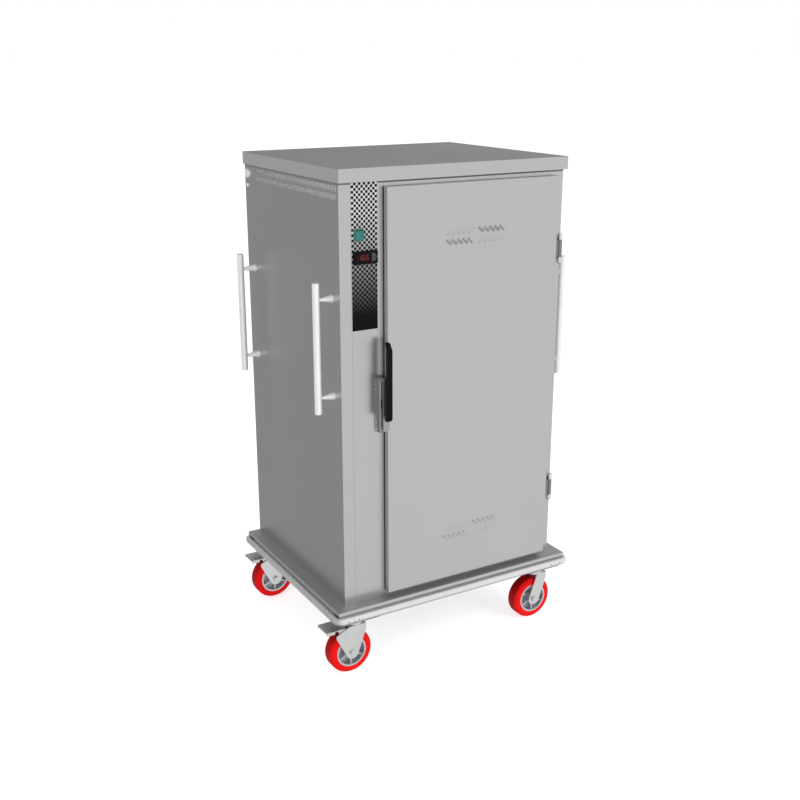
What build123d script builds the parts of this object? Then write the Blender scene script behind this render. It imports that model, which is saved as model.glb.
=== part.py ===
from build123d import *
import os

# Insulated, heated food carrier: a single-door stainless cabinet on a castored base.
# Frame: +X to the right seen from the front, +Y to the back, +Z up. The origin is on the floor
# below the middle of the base. The door and the controls face -Y. All sizes are millimetres.

# ---- running gear and base ---------------------------------------------------------------------
BASE_TOP = 242                      # top of the base tray above the floor
TRAY_W, TRAY_D = 886, 724
TRAY_T = 3
TRAY_EDGE = 10                      # height of the tray's turned-down edge
TUBE = 40                           # square tube of the welded base frame
TUBE_WALL = 2.5
PAD_T = 6                           # plates under the frame that the castors bolt to
PAD = 130
CROSS_X = 130                       # the two cross members lie this far from the middle

BUMPER_OUT = 14                     # the bumper stands this far out from the tray
BUMPER_H = 24
BUMPER_Z = 202
BUMPER_CORNER_R = 28
BUMPER_NOSE_R = 9
BUMPER_CORNER = 60                  # length of a corner moulding along each side

WHEEL_R = 75
TYRE_W = 50
RIM_R = 52
SHOULDER = (10, 7)                  # how far the tread's shoulder drops and how wide it is
CASTOR_X, CASTOR_Y = 362, 300       # swivel axes, to each side of the middle
TRAIL = 20                          # the wheel's axle trails the swivel axis by this much
CASTOR_H = BASE_TOP - TRAY_T - TUBE - PAD_T
CASTOR_PLATE = (105, 85, 5)
CASTOR_BOLTS = (80, 60)             # spacing of the four bolts
BOLT_R = 5
KINGPIN_R = 8
AXLE_R = 5.95
RUNNING = 0.05                      # radial clearance of running fits
LEG_IN, LEG_T = 29, 4               # fork leg: inner face from the wheel's middle, thickness
CROWN_Z = (165, 177)
CHEEK_X = -76                       # a braked fork's cheeks reach this far behind the swivel axis
BRIDGE_X = -30                      # its bridge ends here, and the cheeks slope down from it
PEDAL_PIVOT = (-38, 158)            # x from the swivel axis and height of the pedal's pin
PEDAL_PIN_R = 3
PEDAL_TIP = -112

# ---- cabinet -----------------------------------------------------------------------------------
CAB_W, CAB_D, CAB_H = 800, 674, 1322
CAB_Y = 18                          # the cabinet stands behind the base's middle, for the door
SHEET = 1.2
FACE_T = 1.5                        # front frame, fascia and cover sheet
COVER_H = 40
COVER_OUT = {"left": 5, "right": 10, "front": 12, "back": 6}

LEFT, RIGHT = -CAB_W / 2, CAB_W / 2
FRONT, BACK = CAB_Y - CAB_D / 2, CAB_Y + CAB_D / 2
BOTTOM, TOP = BASE_TOP, BASE_TOP + CAB_H

CHAMBER_X = (-216, 336)
CHAMBER_Y = (FRONT + 19, 306)
CHAMBER_Z = (300, 1447)
LINER_T = 1
RETURN_D = 19                       # depth of the frame's returns into the opening

FASCIA_X = (-361, -256)
FASCIA_Z = (BOTTOM + 12, TOP)
SEAM = 0.4

VENT_PITCH, VENT_COUNT = 13, 44
VENT_SLOT = (6, 18)                 # width and height of a slot in the left side
VENT_Y0 = -301
VENT_Z = (1522, 1546)               # mid-heights of the two rows
INLET_Y, INLET_Z, INLET_R = 332, 1536, 12
BUTTON_Z, BUTTON_R = 1497, 5.8      # reset button, below the inlet

# ---- door --------------------------------------------------------------------------------------
DOOR_X = (-254, 368)
DOOR_Z = (257, 1547)
DOOR_Y = (FRONT - 22.3, FRONT - 4.3)
GASKET_GAP, GASKET_W = 0.3, 14
PLUG_INSET = 10                     # the inner pan clears the opening by this much
PLUG_D = 28
HINGE_X, HINGE_Y = 389, FRONT - 12  # axis of the hinge pins
HINGE_Z = (492, 1315)
HINGE_H = 92
KNUCKLE_R, HINGE_PIN_R = 8, 4
FRAME_KNUCKLE = 18                  # length of each end knuckle

LOUVRE_Z = (416.5, 1386)            # mid-heights of the two groups of louvres
LOUVRE_X = 58
LOUVRE_PITCH, LOUVRE_ROW = 19.5, 30
LOUVRE_L, LOUVRE_W, LOUVRE_RISE = 22, 6, 4
LOUVRES_PER_BLOCK = 5
LOUVRE_BLOCK_STEP = 116             # from the left blocks to the right blocks

# ---- latch -------------------------------------------------------------------------------------
LATCH_Z = (810, 976)
LEVER_PIVOT = (FRONT - 32.5, 858)   # y and z of the lever's pin
LEVER_PIN_R = 2
BOLT_X = (-274, -235)
BOLT_Y = (FRONT - 12, FRONT - 7)
BOLT_Z = (884, 908)
BOLT_TRAVEL = 19
KEEPER_Z = (804, 974)
KEEPER_SCREW_X = -283.5
KEEPER_SCREW_Z = (957, 941, 837, 814)

# ---- push bars ---------------------------------------------------------------------------------
BAR_OUT, BAR_R = 52, 11             # axis distance from the side panel, radius
BAR_Z = (874, 1275)
BAR_Y = (CAB_Y - 285, CAB_Y + 285)
STANDOFF_Z = (924, 1224)
STANDOFF_R = (12.5, 4)              # at the panel and at the bar

# ---- controls ----------------------------------------------------------------------------------
OVERLAY_X, OVERLAY_Z, OVERLAY_T = (-359.5, -275), (1130, 1562.5), 0.5
CONTROLLER_X, CONTROLLER_Z = (-356, -275), (1327, 1366)
CONTROLLER_BEZEL = 5
CONTROLLER_D = 58
KEYPAD_X, KEYPAD_R = -293, 12.5
ROCKER_X, ROCKER_Z = (-351, -320), (1396, 1430)
ROCKER_TILT = 7
ROCKER_PIVOT_Y = FRONT + 2
ROCKER_HALF = (12.2, 13)            # half width and half height of the rocker
ROCKER_WELL = (12.5, 14.2)
ROCKER_PIN_R = 1.8

# ---- heating -----------------------------------------------------------------------------------
DUCT_X, DUCT_Y, DUCT_Z = (-330, -257), (-110, 110), (340, 640)
FAN_Z = 430
FAN_SHAFT_R = 4
HEATER_LEGS = ((-70, 560), (-40, 600))  # y and z where the element enters and leaves

# ---- shelves -----------------------------------------------------------------------------------
SHELF_Z = [380 + 180 * i for i in range(6)]
RUNNER, RUNNER_T = 18, 1.5
RUNNER_Y = (-285, 295)
SHELF_BAR, SHELF_WIRE_R, SHELF_WIRES = 6, 1.8, 15

UP = (Align.CENTER, Align.CENTER, Align.MIN)


# ---- helpers -----------------------------------------------------------------------------------
def block(x, y, z):
    """A box from its low and high x, y and z."""
    middle = [(low + high) / 2 for low, high in (x, y, z)]
    size = [high - low for low, high in (x, y, z)]
    return Pos(*middle) * Box(*size)


def rod(start, end, radius, end_radius=None):
    """A round bar from start to end, or a cone when the end has its own radius."""
    axis = Vector(*end) - Vector(*start)
    if end_radius is None:
        solid = Cylinder(radius, axis.length, align=UP)
    else:
        solid = Cone(radius, end_radius, axis.length, align=UP)
    return Plane(origin=start, z_dir=axis).location * solid


def plate_xz(face, y):
    """A face drawn with x across and z up, made solid between two values of y."""
    return Pos(0, y[1], 0) * extrude(Plane.XZ * face, amount=y[1] - y[0])


def plate_yz(face, x):
    """A face drawn with y across and z up, made solid between two values of x."""
    return Pos(x[0], 0, 0) * extrude(Plane.YZ * face, amount=x[1] - x[0])


def rectangle(across, up):
    """A flat rectangle from its low and high edges."""
    size = Rectangle(across[1] - across[0], up[1] - up[0])
    return Pos((across[0] + across[1]) / 2, (up[0] + up[1]) / 2) * size


def inset(across, up, gap):
    """The same rectangle with its edges moved in by the gap."""
    return rectangle((across[0] + gap, across[1] - gap), (up[0] + gap, up[1] - gap))


def group(parts):
    """Separate solids that share a node."""
    solids = []
    for part in parts:
        solids += part.solids()
    return Compound(solids)


def mirrored(solid, signs):
    """A solid and its copies on the other sides: signs lists the (x, y) sides."""
    for x_sign, y_sign in signs:
        copy = solid
        if x_sign < 0:
            copy = mirror(copy, Plane.YZ)
        if y_sign < 0:
            copy = mirror(copy, Plane.XZ)
        yield copy


CORNERS = [(-1, -1), (1, -1), (-1, 1), (1, 1)]
CASTORS = {
    "fl": (-CASTOR_X, -CASTOR_Y, True),
    "fr": (CASTOR_X, -CASTOR_Y, False),
    "rl": (-CASTOR_X, CASTOR_Y, True),
    "rr": (CASTOR_X, CASTOR_Y, False),
}


# ---- base --------------------------------------------------------------------------------------
def base_tray():
    half_w, half_d = TRAY_W / 2, TRAY_D / 2
    tray = block((-half_w, half_w), (-half_d, half_d), (BASE_TOP - TRAY_EDGE, BASE_TOP))
    rim = tray.faces().sort_by(Axis.Z)[-1].edges() + tray.edges().filter_by(Axis.Z)
    tray = fillet(rim, 2)
    inside = block(
        (TRAY_T - half_w, half_w - TRAY_T),
        (TRAY_T - half_d, half_d - TRAY_T),
        (BASE_TOP - TRAY_EDGE - 1, BASE_TOP - TRAY_T),
    )
    return tray - inside


def square_tube(x, y, z, along):
    """A square tube that is open at both ends of the axis along."""
    inner = [(low + TUBE_WALL, high - TUBE_WALL) for low, high in (x, y, z)]
    inner[along] = ((x, y, z)[along][0] - 1, (x, y, z)[along][1] + 1)
    return block(x, y, z) - block(*inner)


def base_frame():
    out_x, out_y = TRAY_W / 2 - TRAY_T, TRAY_D / 2 - TRAY_T
    z = (BASE_TOP - TRAY_T - TUBE, BASE_TOP - TRAY_T)
    between = (TUBE - out_y, out_y - TUBE)
    tubes = [
        square_tube((-out_x, out_x), (-out_y, TUBE - out_y), z, 0),
        square_tube((-out_x, out_x), (out_y - TUBE, out_y), z, 0),
        square_tube((-out_x, TUBE - out_x), between, z, 1),
        square_tube((out_x - TUBE, out_x), between, z, 1),
    ]
    for x in (-CROSS_X, CROSS_X):
        tubes.append(square_tube((x - TUBE / 2, x + TUBE / 2), between, z, 1))
    pad = block(
        (CASTOR_X - PAD / 2, CASTOR_X + PAD / 2), (CASTOR_Y - PAD / 2, out_y), (CASTOR_H, z[0])
    )
    pad -= bolt_holes(CASTOR_X, CASTOR_Y, (CASTOR_H - 1, z[0] + 1))
    return group(tubes + list(mirrored(pad, CORNERS)))


def bolt_places(x, y):
    """The places of a castor's four bolts round the middle of its plate."""
    for dx in (-CASTOR_BOLTS[0] / 2, CASTOR_BOLTS[0] / 2):
        for dy in (-CASTOR_BOLTS[1] / 2, CASTOR_BOLTS[1] / 2):
            yield x + dx, y + dy


def bolt_holes(x, y, z):
    return Compound([rod((bx, by, z[0]), (bx, by, z[1]), BOLT_R) for bx, by in bolt_places(x, y)])


def bumper():
    """The whole bumper ring, then its four rails and its four corner mouldings."""
    half_w, half_d = TRAY_W / 2 + BUMPER_OUT, TRAY_D / 2 + BUMPER_OUT
    ring = Pos(0, 0, BUMPER_Z) * extrude(
        RectangleRounded(2 * half_w, 2 * half_d, BUMPER_CORNER_R), amount=BUMPER_H
    )
    rims = ring.faces().sort_by(Axis.Z)
    ring = fillet(rims[0].edges() + rims[-1].edges(), BUMPER_NOSE_R)
    in_x, in_y = TRAY_W / 2 - TRAY_T, TRAY_D / 2 - TRAY_T
    tall = (BUMPER_Z - 1, BUMPER_Z + BUMPER_H + 1)
    ring -= block((-in_x, in_x), (-in_y, in_y), tall)

    def corner_box(gap):
        start_x = half_w - BUMPER_CORNER - gap
        start_y = half_d - BUMPER_CORNER - gap
        return block((start_x, half_w + 1), (start_y, half_d + 1), tall)

    corners = [ring & box for box in mirrored(corner_box(0), CORNERS)]
    rails = ring
    for box in mirrored(corner_box(0.6), CORNERS):
        rails -= box
    return group([rails]), group(corners)


# ---- castors -----------------------------------------------------------------------------------
def castor_plate():
    w, d, t = CASTOR_PLATE
    plate = block((-w / 2, w / 2), (-d / 2, d / 2), (CASTOR_H - t, CASTOR_H))
    plate = fillet(plate.edges().filter_by(Axis.Z), 8)
    plate -= bolt_holes(0, 0, (CASTOR_H - t - 1, CASTOR_H + 1))
    race = rod((0, 0, CROWN_Z[1] + 0.5), (0, 0, CASTOR_H - t), 29, 33)
    pin = rod((0, 0, CROWN_Z[0] - 7), (0, 0, CROWN_Z[1] + 1), KINGPIN_R)
    nut = rod((0, 0, CROWN_Z[0] - 7), (0, 0, CROWN_Z[0] - 0.5), 13)
    return plate + race + pin + nut


def castor_bolts():
    """Hexagon-head bolts, up through the castor plates into the pads."""
    bolts = []
    head_top = CASTOR_H - CASTOR_PLATE[2]
    for x, y, _ in CASTORS.values():
        for bx, by in bolt_places(x, y):
            head = extrude(RegularPolygon(8, 6), amount=6)
            shank = rod((0, 0, 5), (0, 0, 6 + CASTOR_PLATE[2] + PAD_T), BOLT_R)
            bolts.append(Pos(bx, by, head_top - 6) * (head + shank))
    return group(bolts)


def castor_fork(braked):
    """Crown, bridge and two slanting legs; a braked fork has deep cheeks and a pedal pin."""
    reach = CHEEK_X if braked else -8
    top = CROWN_Z[0] + LEG_T
    if braked:
        shoulder = [(reach, 136), (reach, 146), (BRIDGE_X, top), (30, top), (30, 150)]
    else:
        shoulder = [(reach, 158), (reach, top), (30, top), (30, 150)]
    foot = Pos(-TRAIL, WHEEL_R) * Circle(22)
    outline = make_hull(foot.edges() + Polyline(*shoulder, close=True).edges())
    outline -= Pos(-TRAIL, WHEEL_R) * Circle(AXLE_R + RUNNING)
    legs = [plate_xz(outline, (side, side + LEG_T)) for side in (-LEG_IN - LEG_T, LEG_IN)]
    bridge_y = LEG_IN + LEG_T
    bridge = block((max(reach, BRIDGE_X), 30), (-bridge_y, bridge_y), (CROWN_Z[0], top))
    crown = rod((0, 0, CROWN_Z[0]), (0, 0, CROWN_Z[1]), 33, 30)
    fork = crown + bridge + legs[0] + legs[1]
    fork -= rod((0, 0, CROWN_Z[0] - 1), (0, 0, CROWN_Z[1] + 1), KINGPIN_R + RUNNING)
    if braked:
        px, pz = PEDAL_PIVOT
        fork += rod((px, -LEG_IN - 1, pz), (px, LEG_IN + 1, pz), PEDAL_PIN_R)
    return fork


def brake_pedal():
    """A treadle on two arms, with a shoe that comes down towards the tyre."""
    px, pz = PEDAL_PIVOT
    top = (165, 168)
    half_w = LEG_IN + LEG_T
    plate = block((PEDAL_TIP, -50), (-half_w, half_w), top)
    plate = fillet(plate.edges().filter_by(Axis.Z).group_by(Axis.X)[0], 4)
    parts = plate
    for side in (-1, 1):
        arm_y = sorted((side * (LEG_IN - 4.5), side * (LEG_IN - 0.5)))
        lip_y = sorted((side * (half_w - 3), side * half_w))
        parts += block((-66, px), arm_y, (pz - 4, top[0] + 1))
        parts += rod((px, arm_y[0], pz), (px, arm_y[1], pz), 6)
        parts += block((PEDAL_TIP + 3, -82), lip_y, (157, top[0] + 1))
    parts += block((-80, -66), (-10, 10), (144, top[0] + 1))
    parts -= block((px - 8, px + 8), (-40, 40), (pz + 6.01, top[1] + 1))
    return parts - rod((px, -40, pz), (px, 40, pz), PEDAL_PIN_R + RUNNING)


def castor_axle():
    """Axle bolt with a hexagon head and a nut, clear of the rim's bore."""
    end = LEG_IN + LEG_T
    bolt = rod((0, -end - 1, 0), (0, end + 10, 0), AXLE_R)
    hexagon = RegularPolygon(10, 6)
    head = plate_xz(hexagon, (-end - 7, -end))
    nut = plate_xz(hexagon, (end, end + 8))
    return Pos(-TRAIL, 0, WHEEL_R) * (bolt + head + nut)


def spin_y(points, rounded=(), radius=0):
    """A ring about the Y axis from an outline of (radius, y) points."""
    outline = make_face(Polyline(*points, close=True))
    if rounded:
        near = [v for v in outline.vertices() if any(abs(v.X - r) < 0.1 for r in rounded)]
        outline = fillet(near, radius)
    return revolve(outline, axis=Axis.Y)


def castor_rim():
    """Ribbed rim: hub, web, outer ring and six ribs on each face."""
    half = TYRE_W / 2
    hub_half = LEG_IN - 0.5
    bore = AXLE_R + RUNNING
    rim = spin_y([(bore, -hub_half), (15, -hub_half), (15, hub_half), (bore, hub_half)])
    rim += spin_y([(14, -3.5), (RIM_R, -3.5), (RIM_R, 3.5), (14, 3.5)])
    rim += spin_y([(RIM_R - 6, -half), (RIM_R, -half), (RIM_R, half), (RIM_R - 6, half)])
    for i in range(6):
        rib = block((12, RIM_R - 4), (-half + 5, half - 5), (-2.5, 2.5))
        rim += Rot(0, 60 * i + 30, 0) * rib
    rim -= rod((0, -hub_half - 1, 0), (0, hub_half + 1, 0), bore)
    return Pos(-TRAIL, 0, WHEEL_R) * rim


def castor_tyre():
    """Polyurethane tread with sloping, rounded shoulders."""
    half = TYRE_W / 2
    drop, width = SHOULDER
    outline = [
        (RIM_R, -half),
        (WHEEL_R - drop, -half),
        (WHEEL_R, width - half),
        (WHEEL_R, half - width),
        (WHEEL_R - drop, half),
        (RIM_R, half),
    ]
    tyre = spin_y(outline, rounded=(WHEEL_R, WHEEL_R - drop), radius=6)
    return Pos(-TRAIL, 0, WHEEL_R) * tyre


# ---- cabinet shell -----------------------------------------------------------------------------
def side_panel(side, vents):
    """A side sheet with returns front and back; the left one has vents, inlet and button holes."""
    y = (FRONT + FACE_T, BACK - SHEET)
    face = rectangle(y, (BOTTOM, TOP))
    if vents:
        slots = Sketch()
        for z in VENT_Z:
            for i in range(VENT_COUNT):
                slots += Pos(VENT_Y0 + i * VENT_PITCH, z) * SlotOverall(VENT_SLOT[1], VENT_SLOT[0], 90)
        face -= slots
        face -= Pos(INLET_Y, INLET_Z) * Circle(INLET_R)
        face -= Pos(INLET_Y, BUTTON_Z) * Circle(BUTTON_R + 0.3)
    outer = RIGHT if side > 0 else LEFT
    inner = outer - side * SHEET
    panel = plate_yz(face, sorted((outer, inner)))
    reach = sorted((inner, inner - side * 14))
    for edge in (y[0], y[1] - SHEET):
        panel += block(reach, (edge, edge + SHEET), (BOTTOM, TOP))
    return panel


def back_panel():
    panel = block((LEFT, RIGHT), (BACK - SHEET, BACK), (BOTTOM, TOP))
    return panel + block((LEFT + 20, RIGHT - 20), (BACK - 16, BACK - SHEET), (TOP - SHEET, TOP))


def front_frame():
    """Post, jambs, header and sill, folded into their openings, and the fascia's foot."""
    y = (FRONT, FRONT + FACE_T)
    deep = (FRONT, FRONT + RETURN_D)
    tall = (BOTTOM, TOP)
    x0, x1 = CHAMBER_X
    z0, z1 = CHAMBER_Z
    post_x = (LEFT, FASCIA_X[0] - SEAM)
    jamb_x = (FASCIA_X[1] + SEAM, x0)
    post = block(post_x, y, tall) + block((post_x[1] - FACE_T, post_x[1]), deep, tall)
    jamb = block(jamb_x, y, tall)
    jamb += block((jamb_x[0], jamb_x[0] + FACE_T), deep, tall)
    jamb += block((x0 - FACE_T, x0), deep, tall)
    right = block((x1, RIGHT), y, tall) + block((x1, x1 + FACE_T), deep, tall)
    header = block((x0, x1), y, (z1, TOP)) + block((x0, x1), deep, (z1, z1 + FACE_T))
    sill = block((x0, x1), y, (BOTTOM, z0)) + block((x0, x1), deep, (z0 - FACE_T, z0))
    foot_y = (FRONT + 3, FRONT + 3 + FACE_T)
    foot = block((post_x[1], jamb_x[0]), foot_y, (BOTTOM, FASCIA_Z[0] - 0.5))
    return group([post, jamb, right, header, sill, foot])


def control_openings():
    """The cut-outs that the fascia and the overlay share."""
    return inset(CONTROLLER_X, CONTROLLER_Z, 5) + inset(ROCKER_X, ROCKER_Z, 2)


def control_fascia():
    panel = plate_xz(rectangle(FASCIA_X, FASCIA_Z) - control_openings(), (FRONT, FRONT + FACE_T))
    for x in (FASCIA_X[0], FASCIA_X[1] - FACE_T):
        panel += block((x, x + FACE_T), (FRONT, FRONT + 14), FASCIA_Z)
    return panel


def control_overlay():
    face = rectangle(OVERLAY_X, OVERLAY_Z) - control_openings()
    return plate_xz(face, (FRONT - OVERLAY_T, FRONT))


def top_cover():
    """A folded pan, upside down, with a lip that turns in to the cabinet's sides."""
    x = (LEFT - COVER_OUT["left"], RIGHT + COVER_OUT["right"])
    y = (FRONT - COVER_OUT["front"], BACK + COVER_OUT["back"])
    cover = block(x, y, (TOP, TOP + COVER_H))
    rim = cover.faces().sort_by(Axis.Z)[-1].edges() + cover.edges().filter_by(Axis.Z)
    cover = fillet(rim, 2)
    cover -= block(
        (x[0] + FACE_T, x[1] - FACE_T),
        (y[0] + FACE_T, y[1] - FACE_T),
        (TOP + FACE_T, TOP + COVER_H - FACE_T),
    )
    return cover - block((LEFT + 30, RIGHT - 30), (FRONT + 30, BACK - 30), (TOP - 1, TOP + 5))


def chamber_liner():
    x0, x1 = CHAMBER_X
    y0, y1 = CHAMBER_Y
    z0, z1 = CHAMBER_Z
    t = LINER_T
    slots = Sketch()
    intake = [FAN_Z + 20 * i for i in range(-2, 3)]
    outlet = [DUCT_Z[1] - 30 - 20 * i for i in range(3)]
    for z in intake + outlet:
        slots += Pos(0, z) * SlotOverall(120, 9)
    left = plate_yz(rectangle((y0, y1 - t), (z0, z1)) - slots, (x0 - t, x0))
    right = block((x1, x1 + t), (y0, y1 - t), (z0, z1))
    back = block((x0 - t, x1 + t), (y1 - t, y1), (z0 - t, z1 + t))
    floor = block((x0 - t, x1 + t), (y0, y1 - t), (z0 - t, z0))
    ceiling = block((x0 - t, x1 + t), (y0, y1 - t), (z1, z1 + t))
    return group([left, right, back, floor, ceiling])


def cabinet_insulation():
    """Mineral-wool slabs round the chamber; the left one has a window for the warm air."""
    x0, x1 = CHAMBER_X[0] - LINER_T, CHAMBER_X[1] + LINER_T
    z0, z1 = CHAMBER_Z[0] - LINER_T, CHAMBER_Z[1] + LINER_T
    y0, y1 = CHAMBER_Y
    wall_x = DUCT_X[1] + SHEET
    left = block((wall_x, x0), (y0, y1), (z0, z1))
    window = [(low + 10, high - 10) for low, high in (DUCT_Y, DUCT_Z)]
    left -= block((wall_x - 1, x0 + 1), *window)
    right = block((x1, RIGHT - SHEET), (y0, y1), (z0, z1))
    back = block((wall_x, RIGHT - 16), (y1, BACK - SHEET - 1), (z0, z1))
    floor = block((wall_x, RIGHT - 16), (FRONT + 20, BACK - 4), (BOTTOM, z0))
    ceiling = block((wall_x, RIGHT - 16), (FRONT + 20, BACK - 4), (z1, z1 + 50))
    return group([left, right, back, floor, ceiling])


def shelf_rails():
    """Two racks on the chamber's sides: uprights with an angle runner for each shelf."""
    racks = []
    for side in (-1, 1):
        wall = CHAMBER_X[0] + 1 if side < 0 else CHAMBER_X[1] - 1
        inner = wall - side * 6
        reach = inner - side * RUNNER
        rack = None
        for y in (-220, 230):
            upright = block(sorted((wall, inner)), (y - 12, y + 12), (SHELF_Z[0] - 40, SHELF_Z[-1] + 40))
            rack = upright if rack is None else rack + upright
        for z in SHELF_Z:
            rack += block(sorted((inner, inner - side * RUNNER_T)), RUNNER_Y, (z, z + 20))
            rack += block(sorted((inner, reach)), RUNNER_Y, (z, z + RUNNER_T))
        racks.append(rack)
    return group(racks)


def wire_shelf():
    """A welded shelf: a square-bar rim, two stretchers and close cross wires."""
    x = (CHAMBER_X[0] + 12, CHAMBER_X[1] - 12)
    y = (-283, 293)
    bar = SHELF_BAR
    shelf = block(x, y, (0, bar))
    shelf -= block((x[0] + bar, x[1] - bar), (y[0] + bar, y[1] - bar), (-1, bar + 1))
    for y_mid in (-90, 100):
        shelf += block((x[0] + 1, x[1] - 1), (y_mid, y_mid + bar), (0, bar / 2))
    for i in range(1, SHELF_WIRES + 1):
        wire_x = x[0] + (x[1] - x[0]) * i / (SHELF_WIRES + 1)
        ends = [(wire_x, wire_y, bar - 2) for wire_y in (y[0] + bar / 2, y[1] - bar / 2)]
        shelf += rod(*ends, SHELF_WIRE_R)
    return shelf


def wire_shelves():
    shelf = wire_shelf()
    return group([Pos(0, 0, z + RUNNER_T + 0.1) * shelf for z in SHELF_Z])


# ---- door --------------------------------------------------------------------------------------
def louvre(lean):
    """One pressed louvre and the slot behind it, in x and z about the origin, face at y 0.

    It slopes up to the right when lean is 1 and to the left when lean is -1, and opens downwards.
    """
    half = LOUVRE_L / 2
    outer = [(-1.5, 0), (LOUVRE_W, 0), (LOUVRE_W, LOUVRE_RISE)]
    inner = [
        (0.5, -1),
        (LOUVRE_W + 1, -1),
        (LOUVRE_W + 1, LOUVRE_RISE - 0.3),
        (LOUVRE_W, LOUVRE_RISE - 1),
    ]
    hood = extrude(make_face(Polyline(*outer, close=True)), amount=half, both=True)
    hollow = extrude(make_face(Polyline(*inner, close=True)), amount=half - 1, both=True)
    slot = block((0.5, LOUVRE_W - 0.5), (-4, 2), (1 - half, half - 1))
    shift = -LOUVRE_W / 2
    parts = []
    for part in (hood - hollow, slot):
        # drawn with the open side to +X and the rise to +Y: turn the rise to -Y, then lean it
        part = mirror(Pos(shift, 0, 0) * part, Plane.XZ)
        turn = Rot(0, 45, 0) if lean > 0 else Rot(0, 135, 0)
        parts.append(turn * part)
    return parts


def louvres():
    """All hoods and all slots on the door's front."""
    hoods, slots = [], []
    for z in LOUVRE_Z:
        for row, left_lean in ((1, 1), (-1, -1)):
            for column, lean in ((-1, left_lean), (1, -left_lean)):
                hood, slot = louvre(lean)
                for i in range(LOUVRES_PER_BLOCK):
                    x = LOUVRE_X + column * LOUVRE_BLOCK_STEP / 2
                    x += (i - (LOUVRES_PER_BLOCK - 1) / 2) * LOUVRE_PITCH
                    place = Pos(x, DOOR_Y[0], z + row * LOUVRE_ROW / 2)
                    hoods.append(place * hood)
                    slots.append(place * slot)
    return hoods, slots


def door_outer_skin():
    skin = block(DOOR_X, DOOR_Y, DOOR_Z)
    rim = skin.faces().sort_by(Axis.Y)[0].edges() + skin.edges().filter_by(Axis.Y)
    skin = fillet(rim, 2)
    skin -= block(
        (DOOR_X[0] + SHEET, DOOR_X[1] - SHEET),
        (DOOR_Y[0] + SHEET, DOOR_Y[1] + 1),
        (DOOR_Z[0] + SHEET, DOOR_Z[1] - SHEET),
    )
    hoods, slots = louvres()
    skin = skin.cut(*slots)
    skin = skin.fuse(*hoods)
    return skin - bolt_space()


def bolt_space():
    """The room that the latch bolt needs in the door."""
    return block(
        (DOOR_X[0] - 5, BOLT_X[1] + BOLT_TRAVEL + 2),
        (BOLT_Y[0] - 1, BOLT_Y[1] + 1),
        (BOLT_Z[0] - 1, BOLT_Z[1] + 1),
    )


def door_inside(y0, y1):
    """The x, y and z spans inside the door's skin, between two depths."""
    x = (DOOR_X[0] + SHEET, DOOR_X[1] - SHEET)
    z = (DOOR_Z[0] + SHEET, DOOR_Z[1] - SHEET)
    return x, (y0, y1), z


def plug_sides(inset):
    """The x and z spans of the part of the door that reaches into the opening."""
    gap = PLUG_INSET + inset
    return (CHAMBER_X[0] + gap, CHAMBER_X[1] - gap), (CHAMBER_Z[0] + gap, CHAMBER_Z[1] - gap)


def rounded_plug(inset, radius):
    x, z = plug_sides(inset)
    plug = block(x, (DOOR_Y[1], DOOR_Y[1] + PLUG_D - inset), z)
    return fillet(plug.edges().filter_by(Axis.Y) + plug.faces().sort_by(Axis.Y)[-1].edges(), radius)


def door_inner_pan():
    """Flange round the door's back and a drawn pan that reaches into the opening."""
    t = LINER_T
    flange = block(*door_inside(DOOR_Y[1] - t, DOOR_Y[1]))
    outer = rounded_plug(0, 6)
    hollow = rounded_plug(t, 5)
    x, z = plug_sides(t)
    window = block(x, (DOOR_Y[1] - 2 * t, DOOR_Y[1] + t), z)
    window = fillet(window.edges().filter_by(Axis.Y), 5)
    return flange + outer - hollow - window


def door_insulation():
    """Mineral wool in the door, hollow behind the louvres, with a core that fills the pan."""
    slab = block(*door_inside(DOOR_Y[0] + SHEET, DOOR_Y[1] - LINER_T))
    for z in LOUVRE_Z:
        slab -= block((LOUVRE_X - 110, LOUVRE_X + 110), (DOOR_Y[0], DOOR_Y[0] + 10), (z - 32, z + 32))
    core = rounded_plug(LINER_T + 0.2, 6)
    x, z = plug_sides(10)
    neck = block(x, (DOOR_Y[1] - 2, DOOR_Y[1] + 2), z)
    return slab + core + neck - bolt_space()


def door_gasket():
    """Four strips of soft seal between the door's flange and the front frame."""
    y = (DOOR_Y[1], FRONT - GASKET_GAP)
    x0, x1 = CHAMBER_X[0] - 22, CHAMBER_X[1] + 18
    z0, z1 = CHAMBER_Z[0] - 22, CHAMBER_Z[1] + 22
    w = GASKET_W
    strips = [
        block((x0, x0 + w), y, (z0, z1)),
        block((x1 - w, x1), y, (z0, z1)),
        block((x0 + w, x1 - w), y, (z0, z0 + w)),
        block((x0 + w, x1 - w), y, (z1 - w, z1)),
    ]
    return group(strips)


# ---- hinges ------------------------------------------------------------------------------------
def knuckle(z, bore):
    """A round knuckle on the hinge axis between two heights."""
    barrel = rod((HINGE_X, HINGE_Y, z[0]), (HINGE_X, HINGE_Y, z[1]), KNUCKLE_R)
    return barrel, rod((HINGE_X, HINGE_Y, z[0] - 1), (HINGE_X, HINGE_Y, z[1] + 1), bore)


def hinge_frame_leaves():
    leaves = []
    for mid in HINGE_Z:
        half = HINGE_H / 2
        leaf = block((373, RIGHT - 1), (FRONT - 3, FRONT), (mid - half, mid + half))
        leaf = fillet(leaf.edges().filter_by(Axis.Y), 3)
        lower = (mid - half, mid - half + FRAME_KNUCKLE)
        upper = (mid + half - FRAME_KNUCKLE, mid + half)
        for z in (lower, upper):
            barrel, bore = knuckle(z, HINGE_PIN_R)
            web = block((HINGE_X - 5, HINGE_X + KNUCKLE_R), (HINGE_Y, FRONT - 2), z)
            leaf += barrel + web
            leaf -= bore
        leaves.append(leaf)
    return group(leaves)


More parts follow.
